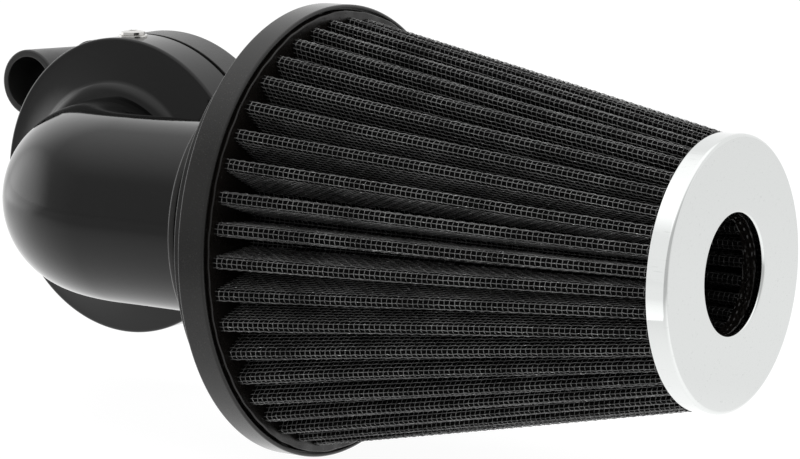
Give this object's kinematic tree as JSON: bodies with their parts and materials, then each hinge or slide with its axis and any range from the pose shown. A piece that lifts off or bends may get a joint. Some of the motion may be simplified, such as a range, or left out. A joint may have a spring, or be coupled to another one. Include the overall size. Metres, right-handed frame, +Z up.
{
  "type": "air filter",
  "caption": "Open pleated cone air filter with chrome end ring on a right-angle intake elbow and round backing plate with two breather bosses.",
  "frame": {"origin": "centre of the throttle bore at the backing plate's rear face", "axes": "+Y along the bore into the throttle body, +X along the filter towards the chrome ring, +Z up"},
  "size_m": [0.3162, 0.1812, 0.14],
  "materials": {
    "elbow_black": "gloss black coat on cast aluminium",
    "housing_black": "satin black coat on cast aluminium",
    "seal_rubber": "matt",
    "plain_steel": "zinc plated",
    "stainless": "turned stainless",
    "moulded_urethane": "smooth satin moulding",
    "potting_urethane": "glossy poured urethane",
    "chrome": "polished",
    "screen_wire": "epoxy coated woven wire",
    "gauze": "oiled cotton gauze",
    "clamp_black": "black oxide"
  },
  "bodies": {
    "housing": {"backing_plate": "housing_black", "breather_bosses": "housing_black", "elbow": "elbow_black", "throttle_seal": "seal_rubber", "throttle_screw_washers": "plain_steel", "throttle_screws": "plain_steel", "breather_washers": "plain_steel", "breather_seals": "seal_rubber", "breather_bolts": "plain_steel", "ring_seal": "seal_rubber", "cover_screw_washers": "stainless", "cover_screws": "stainless"},
    "filter": {"base_flange": "moulded_urethane", "base_potting": "potting_urethane", "chrome_ring": "chrome", "end_potting": "potting_urethane", "inner_end_cap": "potting_urethane", "outer_screen": "screen_wire", "outer_media": "gauze", "outer_back_screen": "screen_wire", "inner_screen": "screen_wire", "inner_media": "gauze", "inner_back_screen": "screen_wire", "clamp_band": "clamp_black", "clamp_housing": "clamp_black"},
    "clamp_screw": {"clamp_screw": "plain_steel"}
  },
  "joints": [
    {"name": "filter_pull", "type": "slide", "parent": "housing", "child": "filter", "axis": [1, 0, 0], "range_m": [0, 0.04]},
    {"name": "clamp_screw_turn", "type": "hinge", "parent": "filter", "child": "clamp_screw", "pos_m": [0.0904, -0.06556, -0.0477], "axis": [0, 1, 0], "continuous": true}
  ]
}
